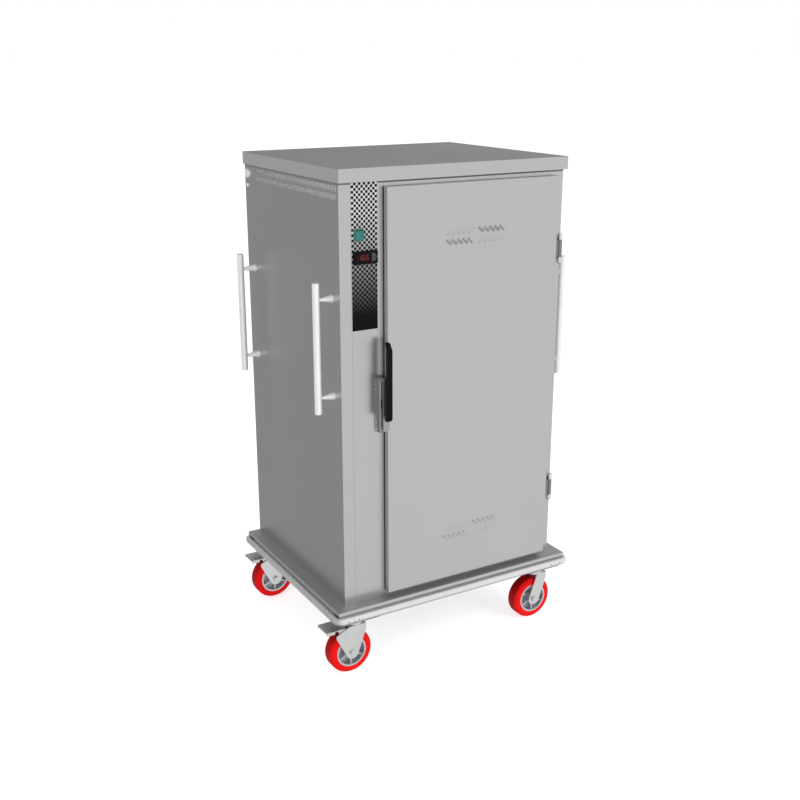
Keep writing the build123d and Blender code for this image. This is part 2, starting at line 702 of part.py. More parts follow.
def hinge_door_leaves():
    leaves = []
    for mid in HINGE_Z:
        half = HINGE_H / 2 - FRAME_KNUCKLE - 0.5
        z = (mid - half, mid + half)
        leaf_z = (z[0] - 10, z[1] + 10)
        leaf = block((DOOR_X[1], DOOR_X[1] + 3), (DOOR_Y[0] + 2, DOOR_Y[1] - 1), leaf_z)
        barrel, bore = knuckle(z, HINGE_PIN_R + RUNNING)
        leaf += barrel + block((DOOR_X[1] + 2, HINGE_X), (HINGE_Y - 3, HINGE_Y + 3), z)
        leaves.append(leaf - bore)
    return group(leaves)


def hinge_pins():
    pins = []
    for mid in HINGE_Z:
        half = HINGE_H / 2
        pin = rod((HINGE_X, HINGE_Y, mid - half), (HINGE_X, HINGE_Y, mid + half), HINGE_PIN_R)
        pin += rod((HINGE_X, HINGE_Y, mid + half), (HINGE_X, HINGE_Y, mid + half + 3), 6.5, 4)
        pin += rod((HINGE_X, HINGE_Y, mid - half), (HINGE_X, HINGE_Y, mid - half - 3), 6.5, 4)
        pins.append(pin)
    return group(pins)


# ---- latch -------------------------------------------------------------------------------------
def latch_keeper():
    """Ridged keeper on the fascia; the bolt lies in a notch that is open to the right and front."""
    flange = block((-288, -270), (FRONT - 3, FRONT), KEEPER_Z)
    flange = fillet(flange.edges().filter_by(Axis.Y).group_by(Axis.X)[0], 8)
    ridge = block((-279, -258), (FRONT - 16, FRONT), KEEPER_Z)
    front = ridge.faces().sort_by(Axis.Y)[0]
    ridge = fillet(front.edges(), 6)
    notch_y = (FRONT - 17, BOLT_Y[1] + 0.6)
    notch = block((BOLT_X[0] - 1, -257), notch_y, (BOLT_Z[0] - 2, BOLT_Z[1] + 2))
    return flange + ridge - notch


def trim_screws():
    """Dome-head screws of the keeper and of the hinges' frame leaves."""
    screws = []
    places = [(KEEPER_SCREW_X, z) for z in KEEPER_SCREW_Z]
    places += [(378, mid + dz) for mid in HINGE_Z for dz in (-18, 18)]
    face = FRONT - 3
    for x, z in places:
        head = rod((x, face, z), (x, face - 1.8, z), 3.2, 2.2)
        screws.append(head)
    return group(screws)


def latch_body():
    """Angle-shaped body on the door's left edge, with two ears and the lever's fixed pin."""
    py, pz = LEVER_PIVOT
    face = DOOR_Y[0]
    body = block((-272, -250), (face - 4.6, face), LATCH_Z)
    body = fillet(body.edges().filter_by(Axis.Y), 3)
    body += block((-257, DOOR_X[0]), (face - 1, FRONT - 5), (LATCH_Z[0] + 5, LATCH_Z[1] - 6))
    for x in ((-273, -268), (-260, -255)):
        body += rod((x[0], py, pz), (x[1], py, pz), 5)
        body += block(x, (py, face - 4), (pz - 5, pz + 5))
    body += rod((-272, py, pz), (-256, py, pz), LEVER_PIN_R)
    return body - bolt_space()


def latch_lever():
    """Black pull lever: broad below, narrow above, with a tip that bends back."""
    py, pz = LEVER_PIVOT
    x0, x1 = -274, -254
    z0, z1 = 849, 1093
    front_outline = [
        (x0, z0),
        (x1, z0),
        (x1, z1),
        (x0 + 5, z1),
        (x0 + 5, z0 + 136),
        (x0, z0 + 124),
    ]
    front_view = make_face(Polyline(*front_outline, close=True))
    bottom_right = front_view.vertices().sort_by(Axis.Y)[:2].sort_by(Axis.X)[-1]
    top_right = front_view.vertices().sort_by(Axis.Y)[-2:].sort_by(Axis.X)[-1]
    front_view = fillet([bottom_right, top_right], 8)
    back = py - 5.5
    side_outline = [
        (back, z0),
        (back, z1 - 20),
        (back + 5, z1 - 6),
        (back + 5, z1),
        (back - 3, z1),
        (back - 3, z1 - 7),
        (back - 14, z1 - 24),
        (back - 14, z0),
    ]
    side_view = make_face(Polyline(*side_outline, close=True))
    side_view = fillet(side_view.vertices().filter_by(lambda v: z0 + 11 < v.Y < z1 - 3), 12)
    lever = plate_xz(front_view, (back - 30, back + 10)) & plate_yz(side_view, (-280, -250))
    lug = rod((-267.4, py, pz), (-260.6, py, pz), 5)
    lug += block((-267.4, -260.6), (back - 1, py), (pz - 5, pz + 5))
    return lever + lug - rod((-275, py, pz), (-250, py, pz), LEVER_PIN_R + RUNNING)


def latch_bolt():
    """Sliding bolt that the lever draws out of the keeper."""
    bolt = block(BOLT_X, BOLT_Y, BOLT_Z)
    nose = bolt.edges().filter_by(Axis.Z).group_by(Axis.X)[0].sort_by(Axis.Y)[-1]
    return chamfer(nose, 3)


# ---- push bars ---------------------------------------------------------------------------------
def push_bars():
    bars = []
    for side in (-1, 1):
        x = side * (CAB_W / 2 + BAR_OUT)
        for y in BAR_Y:
            bar = rod((x, y, BAR_Z[0]), (x, y, BAR_Z[1]), BAR_R)
            bar = fillet(bar.edges().filter_by(GeomType.CIRCLE), 2)
            bars.append(bar)
    return group(bars)


def push_bar_standoffs():
    """Conical stand-offs, broad at the panel, each cut to the bar's round side."""
    standoffs = []
    for side in (-1, 1):
        wall = side * CAB_W / 2
        x = side * (CAB_W / 2 + BAR_OUT)
        for y in BAR_Y:
            for z in STANDOFF_Z:
                end = x - side * (BAR_R - 3)
                neck = rod((wall, y, z), (end, y, z), *STANDOFF_R)
                standoffs.append(neck - rod((x, y, z - 20), (x, y, z + 20), BAR_R))
    return group(standoffs)


# ---- controls ----------------------------------------------------------------------------------
def keypad_half(side, clearance):
    """Upper (side 1) or lower (side -1) half of the D-shaped pad, grown by the clearance."""
    radius = KEYPAD_R + clearance
    mid_z = sum(CONTROLLER_Z) / 2
    pad = Pos(KEYPAD_X, mid_z) * Circle(radius)
    edge = 0.4 - clearance
    span = (mid_z + edge, mid_z + 20) if side > 0 else (mid_z - 20, mid_z - edge)
    return pad & rectangle((KEYPAD_X - 3 - clearance, KEYPAD_X + 20), span)


def controller_housing():
    """Panel-mounting controller: bezel, display recess, pockets for the keys, body behind."""
    face = FRONT - OVERLAY_T - CONTROLLER_BEZEL
    bezel = block(CONTROLLER_X, (face, FRONT - OVERLAY_T), CONTROLLER_Z)
    bezel = fillet(bezel.edges().filter_by(Axis.Y), 4)
    bezel = fillet(bezel.faces().sort_by(Axis.Y)[0].edges(), 1.5)
    body_y = (FRONT - OVERLAY_T - 1, FRONT + CONTROLLER_D)
    body = plate_xz(inset(CONTROLLER_X, CONTROLLER_Z, 5.5), body_y)
    housing = bezel + body
    display = inset((CONTROLLER_X[0] + 1, KEYPAD_X + 1), CONTROLLER_Z, 8)
    housing -= plate_xz(display, (face - 1, face + 1.2))
    for side in (-1, 1):
        housing -= plate_xz(keypad_half(side, 0.3), (face - 1, face + 4))
    return housing


def controller_key(side):
    face = FRONT - OVERLAY_T - CONTROLLER_BEZEL
    key = plate_xz(keypad_half(side, 0), (face - 1.2, face + 2.6))
    return fillet(key.faces().sort_by(Axis.Y)[0].edges(), 0.8)


def rocker_pin(half_length, clearance):
    """The rocker's pivot pin, or with a clearance the hole for it."""
    mid_x, mid_z = sum(ROCKER_X) / 2, sum(ROCKER_Z) / 2
    ends = [(mid_x + dx, ROCKER_PIVOT_Y, mid_z) for dx in (-half_length, half_length)]
    return rod(*ends, ROCKER_PIN_R + clearance)


def rocker_bezel():
    mid_x, mid_z = sum(ROCKER_X) / 2, sum(ROCKER_Z) / 2
    face = FRONT - OVERLAY_T - 3
    bezel = block(ROCKER_X, (face, FRONT - OVERLAY_T), ROCKER_Z)
    bezel = fillet(bezel.edges().filter_by(Axis.Y), 3)
    bezel = fillet(bezel.faces().sort_by(Axis.Y)[0].edges(), 1)
    body = plate_xz(inset(ROCKER_X, ROCKER_Z, 2), (face + 2, FRONT + 28))
    terminal = Box(0.8, 9, 6)
    for x in (-6, 6):
        for z in (-8, 0, 8):
            body += Pos(mid_x + x, FRONT + 31.5, mid_z + z) * terminal
    half_x, half_z = ROCKER_WELL
    well = plate_xz(Pos(mid_x, mid_z) * Rectangle(2 * half_x, 2 * half_z), (face - 1, FRONT + 14))
    return bezel + body - well - rocker_pin(14, RUNNING)


def rocker_button():
    """Rocker with a hollow-backed V face, at rest tipped with its lower half pressed in."""
    mid_x, mid_z = sum(ROCKER_X) / 2, sum(ROCKER_Z) / 2
    half_x, half_z = ROCKER_HALF
    outline = [(-8, -half_z), (-6.6, 0), (-8, half_z), (0, half_z), (9, 7), (9, -7), (0, -half_z)]
    rocker = plate_yz(make_face(Polyline(*outline, close=True)), (-half_x, half_x))
    rocker = fillet(rocker.faces().sort_by(Axis.Y)[0].edges().filter_by(Axis.X), 0.8)
    rocker = Rot(ROCKER_TILT, 0, 0) * rocker
    return Pos(mid_x, ROCKER_PIVOT_Y, mid_z) * rocker + rocker_pin(13.4, 0)


def power_inlet():
    """Round flanged inlet on the left side, closed by its cap."""
    inlet = rod((LEFT, INLET_Y, INLET_Z), (LEFT - 4, INLET_Y, INLET_Z), 15.5, 14.5)
    inlet += rod((LEFT - 4, INLET_Y, INLET_Z), (LEFT - 7, INLET_Y, INLET_Z), 12, 11)
    return inlet + rod((LEFT - 1, INLET_Y, INLET_Z), (LEFT + 30, INLET_Y, INLET_Z), INLET_R - 0.1)


def reset_button():
    """Push button of the thermal cut-out, kept in by a flange behind the panel."""
    x = (LEFT - 4, LEFT + SHEET + 0.4)
    button = rod((x[1], INLET_Y, BUTTON_Z), (x[0], INLET_Y, BUTTON_Z), BUTTON_R)
    button = fillet(button.faces().sort_by(Axis.X)[0].edges(), 1.2)
    button += rod((x[1], INLET_Y, BUTTON_Z), (x[1] + 2, INLET_Y, BUTTON_Z), 8)
    return button + rod((x[1] + 2, INLET_Y, BUTTON_Z), (x[1] + 12, INLET_Y, BUTTON_Z), 3)


# ---- heating -----------------------------------------------------------------------------------
def air_duct():
    """Partition beside the insulation and, on its back, the box that holds fan and heater."""
    x0, x1 = DUCT_X
    wall = rectangle((FRONT + 20, BACK - 6), (BOTTOM, CHAMBER_Z[1] + 50))
    wall -= inset(DUCT_Y, DUCT_Z, 10)
    partition = plate_yz(wall, (x1, x1 + SHEET))
    box = block((x0, x1), DUCT_Y, DUCT_Z)
    box -= plate_yz(inset(DUCT_Y, DUCT_Z, SHEET), (x0 + SHEET, x1 + 1))
    box -= rod((x0 - 1, 0, FAN_Z), (x0 + 5, 0, FAN_Z), 7)
    for y, z in HEATER_LEGS:
        box -= rod((x0 - 1, y, z), (x0 + 5, y, z), 5)
    return group([partition, box])


def heater_element():
    """Tubular element: two legs through the duct's back and a hairpin in the air stream."""
    (y0, z0), (y1, z1) = HEATER_LEGS
    x = DUCT_X[0] + 40
    start = DUCT_X[0] - 18
    route = [(start, y0, z0), (x, y0, z0), (x, 70, z0), (x, 70, z1), (x, y1, z1), (start, y1, z1)]
    path = FilletPolyline(*route, radius=15)
    section = Plane(origin=path @ 0, z_dir=path % 0) * Circle(4)
    return sweep(section, path=path)


def fan_motor():
    motor = rod((DUCT_X[0] - 60, 0, FAN_Z), (DUCT_X[0], 0, FAN_Z), 34)
    motor = fillet(motor.edges().filter_by(GeomType.CIRCLE), 4)
    return motor - rod((DUCT_X[0] - 20, 0, FAN_Z), (DUCT_X[0] + 1, 0, FAN_Z), FAN_SHAFT_R + RUNNING)


def fan_impeller():
    """Radial impeller with its shaft."""
    back = DUCT_X[0] + 14
    fan = rod((DUCT_X[0] - 18, 0, 0), (back, 0, 0), FAN_SHAFT_R)
    fan += rod((back, 0, 0), (back + 30, 0, 0), 12)
    fan += rod((back, 0, 0), (back + 2, 0, 0), 62)
    for i in range(10):
        blade = block((back + 1, back + 34), (24, 60), (-1, 1))
        fan += Rot(36 * i, 0, 0) * (Pos(0, 0, 8) * blade)
    return Pos(0, 0, FAN_Z) * fan


# ---- assembly ----------------------------------------------------------------------------------
def build():
    nodes = {"base_tray": base_tray(), "base_frame": base_frame()}
    nodes["bumper_rails"], nodes["bumper_corners"] = bumper()
    nodes["castor_plates"] = group([Pos(x, y, 0) * castor_plate() for x, y, _ in CASTORS.values()])
    nodes["castor_bolts"] = castor_bolts()
    for name, (x, y, braked) in CASTORS.items():
        place = Pos(x, y, 0)
        nodes[f"castor_fork_{name}"] = place * castor_fork(braked)
        nodes[f"castor_axle_{name}"] = place * castor_axle()
        nodes[f"castor_rim_{name}"] = place * castor_rim()
        nodes[f"castor_tyre_{name}"] = place * castor_tyre()
        if braked:
            nodes[f"brake_pedal_{name}"] = place * brake_pedal()
    nodes["side_panel_left"] = side_panel(-1, vents=True)
    nodes["side_panel_right"] = side_panel(1, vents=False)
    nodes["controller_key_up"] = controller_key(1)
    nodes["controller_key_down"] = controller_key(-1)
    singles = (
        back_panel, front_frame, control_fascia, control_overlay, top_cover, chamber_liner,
        cabinet_insulation, shelf_rails, wire_shelves, door_outer_skin, door_inner_pan,
        door_insulation, door_gasket, hinge_frame_leaves, hinge_door_leaves, hinge_pins,
        latch_keeper, trim_screws, latch_body, latch_lever, latch_bolt, push_bars,
        push_bar_standoffs, controller_housing, rocker_bezel, rocker_button, power_inlet,
        reset_button, air_duct, heater_element, fan_motor, fan_impeller,
    )
    for make in singles:
        nodes[make.__name__] = make()
    return nodes


os.makedirs("parts", exist_ok=True)
for node, shape in build().items():
    export_step(shape, f"parts/{node}.step")
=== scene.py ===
"""Looks of the insulated food carrier: materials, small fitted pieces, studio and camera."""

import math

import bmesh
import bpy
from mathutils import Matrix, Vector

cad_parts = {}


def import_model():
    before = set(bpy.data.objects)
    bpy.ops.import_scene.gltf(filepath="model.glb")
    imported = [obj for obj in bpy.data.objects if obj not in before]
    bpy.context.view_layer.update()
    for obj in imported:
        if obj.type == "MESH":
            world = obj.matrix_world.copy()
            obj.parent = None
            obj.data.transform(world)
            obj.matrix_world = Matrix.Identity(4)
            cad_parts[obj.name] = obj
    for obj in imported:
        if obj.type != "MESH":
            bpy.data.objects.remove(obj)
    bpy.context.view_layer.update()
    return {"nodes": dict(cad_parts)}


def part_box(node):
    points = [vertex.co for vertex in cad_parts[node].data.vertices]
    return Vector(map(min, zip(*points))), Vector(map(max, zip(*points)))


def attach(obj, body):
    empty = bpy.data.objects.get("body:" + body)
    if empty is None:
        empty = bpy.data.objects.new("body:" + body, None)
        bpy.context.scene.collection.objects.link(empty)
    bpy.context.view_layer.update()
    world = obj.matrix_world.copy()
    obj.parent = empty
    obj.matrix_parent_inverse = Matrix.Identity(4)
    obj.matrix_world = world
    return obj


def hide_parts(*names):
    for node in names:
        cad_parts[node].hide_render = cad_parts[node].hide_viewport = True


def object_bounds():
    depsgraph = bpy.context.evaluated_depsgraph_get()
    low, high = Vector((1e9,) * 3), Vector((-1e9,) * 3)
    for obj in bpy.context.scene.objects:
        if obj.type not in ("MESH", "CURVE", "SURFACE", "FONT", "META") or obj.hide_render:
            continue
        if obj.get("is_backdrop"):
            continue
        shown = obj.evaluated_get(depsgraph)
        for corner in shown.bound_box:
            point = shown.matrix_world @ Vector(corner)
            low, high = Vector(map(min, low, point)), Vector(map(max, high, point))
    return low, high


MM = 0.001

# ---- camera and studio ---------------------------------------------------------------------------
CAMERA_AZIMUTH, CAMERA_ELEVATION = -30.34, 17.53    # degrees
CAMERA_DISTANCE = 3.725                             # metres from the point it looks at
CAMERA_TARGET = Vector((-0.020, -0.015, 0.782))
CAMERA_LENS, CAMERA_SENSOR = 49.0, 36.0
STUDIO_SIDE = Vector((0.55, -0.83, 0.0))            # the bright side of the studio
STUDIO_DIM, STUDIO_BRIGHT = 0.47, 1.08
FLOOR_SIZE = 400

# ---- small fitted pieces -------------------------------------------------------------------------
CHECK_COLUMNS = 11                                  # checks across the control overlay
DISPLAY_TEXT = "165"                                # a holding temperature in degrees Fahrenheit
SCREW_STEP = 150 * MM
CORNER_LENGTH = 60 * MM                             # of the bumper's corner mouldings
RIVET_FROM_JOINT = 18 * MM
RIVET_INSET = 12 * MM                               # from the back panel's edges
DOME_RINGS, DOME_SIDES = 5, 20                      # facets of a rivet's head
SEAL_WIDTH = 14 * MM
SHADOW_BEAD_HEIGHT, SHADOW_BEAD_OUT = 6.5 * MM, 0.8 * MM          # of the dark bead under the cover, a painted shadow line
BAFFLE_X = (2.4 * MM, 3.4 * MM)                     # in from the left side's outer face
BAFFLE_Y = (8 * MM, 60 * MM)                        # in from the side panel's front and back edges
BAFFLE_Z = (62 * MM, 6 * MM)                        # down from the side panel's top edge
WINDOW_EDGE, WINDOW_TOP = 9.5 * MM, 8.5 * MM        # of the controller's bezel round its window
WINDOW_TO_KEYS = 4.5 * MM
WINDOW_Y = (0.2 * MM, 1.1 * MM)                     # behind the bezel's front face
LAMP_RADIUS, LAMP_FROM_KEYS = 1.3 * MM, 2.6 * MM

SEGMENTS = {
    "1": "bc",
    "5": "acdfg",
    "6": "acdefg",
}

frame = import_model()
nodes = frame["nodes"]


# ---- node helpers --------------------------------------------------------------------------------
class Shader:
    """A Principled material and short ways to add nodes to it."""

    def __init__(self, name, color, metallic=0.0, roughness=0.5, **sockets):
        self.material = bpy.data.materials.new(name)
        self.material.use_nodes = True
        self.tree = self.material.node_tree
        self.bsdf = self.tree.nodes["Principled BSDF"]
        self.color = color
        self.set("Base Color", (*color, 1))
        self.set("Metallic", metallic)
        self.set("Roughness", roughness)
        for socket, value in sockets.items():
            self.set(socket.replace("_", " "), value)
        self.material.diffuse_color = (*color, 1)

    def set(self, socket, value):
        self.bsdf.inputs[socket].default_value = value

    def node(self, kind, **values):
        made = self.tree.nodes.new(f"ShaderNode{kind}")
        for key, value in values.items():
            setattr(made, key, value)
        return made

    def link(self, output, target):
        self.tree.links.new(output, target)

    def coords(self, scale=(1, 1, 1), shift=(0, 0, 0)):
        """Places on the object, in metres, stretched by the scale."""
        where = self.node("TexCoord")
        mapping = self.node("Mapping")
        mapping.inputs["Scale"].default_value = scale
        mapping.inputs["Location"].default_value = shift
        self.link(where.outputs["Object"], mapping.inputs["Vector"])
        return mapping.outputs["Vector"]

    def facing(self, axis):
        """How far the surface faces along one axis of the object, either way, from 0 to 1."""
        normal = self.node("SeparateXYZ")
        self.link(self.node("TexCoord").outputs["Normal"], normal.inputs["Vector"])
        return self.math("ABSOLUTE", normal.outputs[axis])

    def noise(self, scale, stretch=(1, 1, 1), detail=3.0, rough=0.5):
        made = self.node("TexNoise")
        made.inputs["Scale"].default_value = scale
        made.inputs["Detail"].default_value = detail
        made.inputs["Roughness"].default_value = rough
        self.link(self.coords(stretch), made.inputs["Vector"])
        return made.outputs["Fac"]

    def remap(self, value, to, span=(0.3, 0.7)):
        made = self.node("MapRange")
        made.inputs["From Min"].default_value = span[0]
        made.inputs["From Max"].default_value = span[1]
        made.inputs["To Min"].default_value = to[0]
        made.inputs["To Max"].default_value = to[1]
        self.link(value, made.inputs["Value"])
        return made.outputs["Result"]

    def math(self, kind, a, b=None):
        made = self.node("Math", operation=kind)
        for socket, value in zip(made.inputs, (a, b)):
            if isinstance(value, (int, float)):
                socket.default_value = value
            elif value is not None:
                self.link(value, socket)
        return made.outputs["Value"]

    def mix(self, fac, low, high):
        """Mixes two colours, each a tuple or a socket."""
        made = self.node("Mix", data_type="RGBA")
        if isinstance(fac, (int, float)):
            made.inputs["Factor"].default_value = fac
        else:
            self.link(fac, made.inputs["Factor"])
        for name, value in (("A", low), ("B", high)):
            socket = [s for s in made.inputs if s.name == name and s.type == "RGBA"][0]
            if isinstance(value, tuple):
                socket.default_value = (*value, 1)
            else:
                self.link(value, socket)
        return [s for s in made.outputs if s.type == "RGBA"][0]

    def tint(self, fac, spread):
        """The base colour, made lighter and darker by the given share."""
        low = tuple(c * (1 - spread) for c in self.color)
        high = tuple(min(1, c * (1 + spread)) for c in self.color)
        self.link(self.mix(fac, low, high), self.bsdf.inputs["Base Color"])

    def bump(self, height, strength, distance):
        made = self.node("Bump")
        made.inputs["Strength"].default_value = strength
        made.inputs["Distance"].default_value = distance
        self.link(height, made.inputs["Height"])
        self.link(made.outputs["Normal"], self.bsdf.inputs["Normal"])


# ---- materials -----------------------------------------------------------------------------------
def brushed(name, tone, along, roughness=0.30, anisotropy=0.3, spread=0.012, painted_face_light=()):
    """Sheet metal with fine scratches along one axis, faint streaks and soft smudges.

    Each (axis, share) pair paints light and shade: faces that look along the axis are painted lighter or
    darker by the share.
    """
    shader = Shader(name, (tone, tone, tone * 1.01), 1.0, roughness, Anisotropic=anisotropy)
    fine = [900, 900, 900]
    broad = [70, 70, 70]
    fine["xyz".index(along)] = 6
    broad["xyz".index(along)] = 0.8
    scratches = shader.noise(1.0, fine, detail=2.0)
    streaks = shader.noise(1.0, broad, detail=3.0)
    smudges = shader.noise(5.0, detail=2.0)
    fine_half = shader.math("MULTIPLY", scratches, 0.5)
    broad_half = shader.math("MULTIPLY", streaks, 0.5)
    both = shader.math("ADD", fine_half, broad_half)
    low, high = tone * (1 - spread), tone * (1 + spread)
    color = shader.mix(shader.remap(both, (0, 1)), (low, low, low), (high, high, high))
    # painted light and shade: faces along each axis are painted lighter or darker
    for axis, share in painted_face_light:
        painted_tone = min(1, tone * (1 + share))
        color = shader.mix(shader.facing(axis), color, (painted_tone, painted_tone, painted_tone))
    shader.link(color, shader.bsdf.inputs["Base Color"])
    wear = shader.math("ADD", shader.math("MULTIPLY", both, 0.4), shader.math("MULTIPLY", smudges, 0.6))
    worn_roughness = shader.remap(wear, (roughness - 0.03, roughness + 0.04))
    shader.link(worn_roughness, shader.bsdf.inputs["Roughness"])
    shader.bump(scratches, 0.05, 0.00003)
    tangent = shader.node("Tangent", direction_type="RADIAL", axis="Z")
    shader.link(tangent.outputs["Tangent"], shader.bsdf.inputs["Tangent"])
    return shader.material


def cast_metal(name, color, metallic, roughness, grain, spread=0.06, depth=0.0001):
    """Cast, plated or powder-coated metal with a fine even grain."""
    shader = Shader(name, color, metallic, roughness)
    pits = shader.noise(grain, detail=4.0)
    cloud = shader.noise(12.0, detail=3.0)
    shader.tint(shader.remap(cloud, (0, 1)), spread)
    pitted_roughness = shader.remap(pits, (roughness - 0.06, roughness + 0.08))
    shader.link(pitted_roughness, shader.bsdf.inputs["Roughness"])
    shader.bump(pits, 0.25, depth)
    return shader.material


def moulded(name, color, roughness, grain=2500.0, depth=0.00003, **sockets):
    """Moulded plastic with a faint texture."""
    shader = Shader(name, color, 0.0, roughness, **sockets)
    skin = shader.noise(grain, detail=2.0)
    cloud = shader.noise(30.0, detail=2.0)
    shader.tint(shader.remap(cloud, (0, 1)), 0.06)
    skin_roughness = shader.remap(skin, (roughness - 0.04, roughness + 0.05))
    shader.link(skin_roughness, shader.bsdf.inputs["Roughness"])
    shader.bump(skin, 0.15, depth)
    return shader.material


def polished(name, tone, roughness):
    """Bright plated or polished metal, with hairline scratches."""
    shader = Shader(name, (tone, tone, tone), 1.0, roughness)
    hairs = shader.noise(1.0, (500, 500, 40), detail=3.0)
    shader.link(shader.remap(hairs, (roughness * 0.7, roughness * 1.5)), shader.bsdf.inputs["Roughness"])
    shader.bump(hairs, 0.05, 0.00003)
    return shader.material


def polyurethane():
    """Red castor tyre: its own red on the side faces; the rolling face is scuffed and painted darker as
    painted shade.
    """
    shader = Shader("red_polyurethane", (0.72, 0.004, 0.004), 0.0, 0.36, Specular_IOR_Level=0.08)
    scuffs = shader.noise(220.0, detail=4.0)
    # the rolling face is painted darker than the side faces as painted shade; the scuffs vary it
    tread_scuffs_and_shade = shader.mix(shader.remap(scuffs, (0, 1)), (0.30, 0.001, 0.001), (0.38, 0.002, 0.002))
    shader.link(shader.mix(shader.facing("Y"), tread_scuffs_and_shade, shader.color), shader.bsdf.inputs["Base Color"])
    shader.link(shader.remap(scuffs, (0.32, 0.46)), shader.bsdf.inputs["Roughness"])
    shader.bump(scuffs, 0.12, 0.00008)
    return shader.material


def overlay_film():
    """Printed film: light and dark checks that fade into plain black towards the bottom."""
    low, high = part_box("control_overlay")
    check = (high.x - low.x) / CHECK_COLUMNS
    shader = Shader("overlay_film", (0.01, 0.01, 0.011), 0.0, 0.35, Specular_IOR_Level=0.06)
    checks = shader.node("TexChecker")
    checks.inputs["Scale"].default_value = 1.0
    checks.inputs["Color1"].default_value = (1, 1, 1, 1)
    checks.inputs["Color2"].default_value = (0, 0, 0, 1)
    step = 1 / check
    # half a check in y keeps the film's flat face away from the pattern's own steps
    shift = (-low.x * step, -(low.y + high.y) / 2 * step + 0.5, -high.z * step)
    shader.link(shader.coords((step, step, step), shift), checks.inputs["Vector"])
    place = shader.node("SeparateXYZ")
    shader.link(shader.coords(), place.inputs["Vector"])
    z = place.outputs["Z"]
    top = low.z + 0.80 * (high.z - low.z)
    bottom = low.z + 0.10 * (high.z - low.z)
    fade = shader.math("POWER", shader.remap(z, (0.0, 0.95), (bottom, top)), 1.25)
    light = shader.math("MULTIPLY", fade, 0.52)
    tone = shader.math("MULTIPLY", checks.outputs["Fac"], light)
    tone = shader.math("ADD", tone, 0.004)
    color = shader.node("CombineColor")
    for channel in ("Red", "Green", "Blue"):
        shader.link(tone, color.inputs[channel])
    shader.link(color.outputs["Color"], shader.bsdf.inputs["Base Color"])
    shader.bump(shader.noise(1800.0, detail=2.0), 0.08, 0.00002)
    return shader.material


def green_plastic():
    """Translucent green of the rocker, faintly cloudy, with a little light of its own."""
    shader = Shader("green_plastic", (0.024, 0.14, 0.12), 0.0, 0.26, Specular_IOR_Level=0.35,
                    Emission_Color=(0.02, 0.20, 0.16, 1), Emission_Strength=0.06)
    cloud = shader.noise(90.0, detail=2.0)
    shader.tint(shader.remap(cloud, (0, 1)), 0.10)
    shader.bump(shader.noise(2600.0), 0.08, 0.00002)
    return shader.material


def glowing(name, color, strength):
    """Plastic or film that gives off light of its own colour."""
    shader = Shader(name, color, 0.0, 0.35, Emission_Color=(*color, 1), Emission_Strength=strength)
    shader.tint(shader.remap(shader.noise(700.0), (0, 1)), 0.15)
    return shader.material


def wool():
    """Mineral wool: matted fibres lying mostly flat."""
    shader = Shader("mineral_wool", (0.62, 0.50, 0.22), 0.0, 0.95, Sheen_Weight=0.3)
    fibres = shader.noise(1.0, (90, 90, 400), detail=6.0, rough=0.7)
    shader.tint(shader.remap(fibres, (0, 1)), 0.25)
    shader.bump(fibres, 0.8, 0.002)
    return shader.material


def rubber(name, tone):
    """Matt rubber with a pale bloom; also the dark bead of painted shadow under the cover."""
    shader = Shader(name, (tone, tone, tone), 0.0, 0.62, Sheen_Weight=0.08)
    bloom = shader.noise(160.0, detail=4.0)
    shader.tint(shader.remap(bloom, (0, 1)), 0.2)
    shader.link(shader.remap(bloom, (0.52, 0.74)), shader.bsdf.inputs["Roughness"])
    shader.bump(bloom, 0.2, 0.0001)
    return shader.material


def heated_steel():
    """Dark steel of the heating element, with straw and blue temper colours."""
    shader = Shader("heated_steel", (0.16, 0.13, 0.11), 1.0, 0.42)
    bands = shader.noise(24.0, detail=3.0)
    shader.link(shader.mix(shader.remap(bands, (0, 1)), (0.20, 0.15, 0.09), (0.10, 0.11, 0.15)),
                shader.bsdf.inputs["Base Color"])
    shader.bump(shader.noise(900.0), 0.2, 0.00005)
    return shader.material


steel_up = brushed("stainless_grain_up", 0.60, "z")
# painted light on the cover's side faces and painted shade on its top
steel_cover = brushed("stainless_cover", 0.60, "x", painted_face_light=(("X", 0.42), ("Z", -0.27)))
# painted light on the tray's side and front faces
steel_tray = brushed("stainless_tray", 0.60, "x", roughness=0.52, anisotropy=0.1,
                     painted_face_light=(("X", 0.20), ("Y", 0.18)))
liner = brushed("liner_steel", 0.66, "z", roughness=0.24)
wire_steel = brushed("shelf_wire", 0.72, "y", roughness=0.20, anisotropy=0.2)
bumper_metal = cast_metal("bumper_alloy", (0.86, 0.86, 0.86), 0.9, 0.30, 600.0, spread=0.02,
                          depth=0.00003)
bar_metal = cast_metal("satin_alloy", (0.88, 0.88, 0.88), 0.5, 0.36, 900.0, spread=0.02, depth=0.00003)
zinc = cast_metal("bright_zinc", (0.74, 0.75, 0.75), 1.0, 0.30, 700.0, spread=0.05, depth=0.00005)
# grey powder coat, darkened past its own grey as painted shade in the gap between the tray and the
# bumper
powder_and_gap_shade = cast_metal("grey_powder_coat_and_gap_shade", (0.27, 0.275, 0.28), 0.2, 0.50, 1500.0)
rim_cast = cast_metal("cast_rim", (0.62, 0.62, 0.66), 0.85, 0.42, 900.0)
chrome = polished("bright_chrome", 0.82, 0.12)
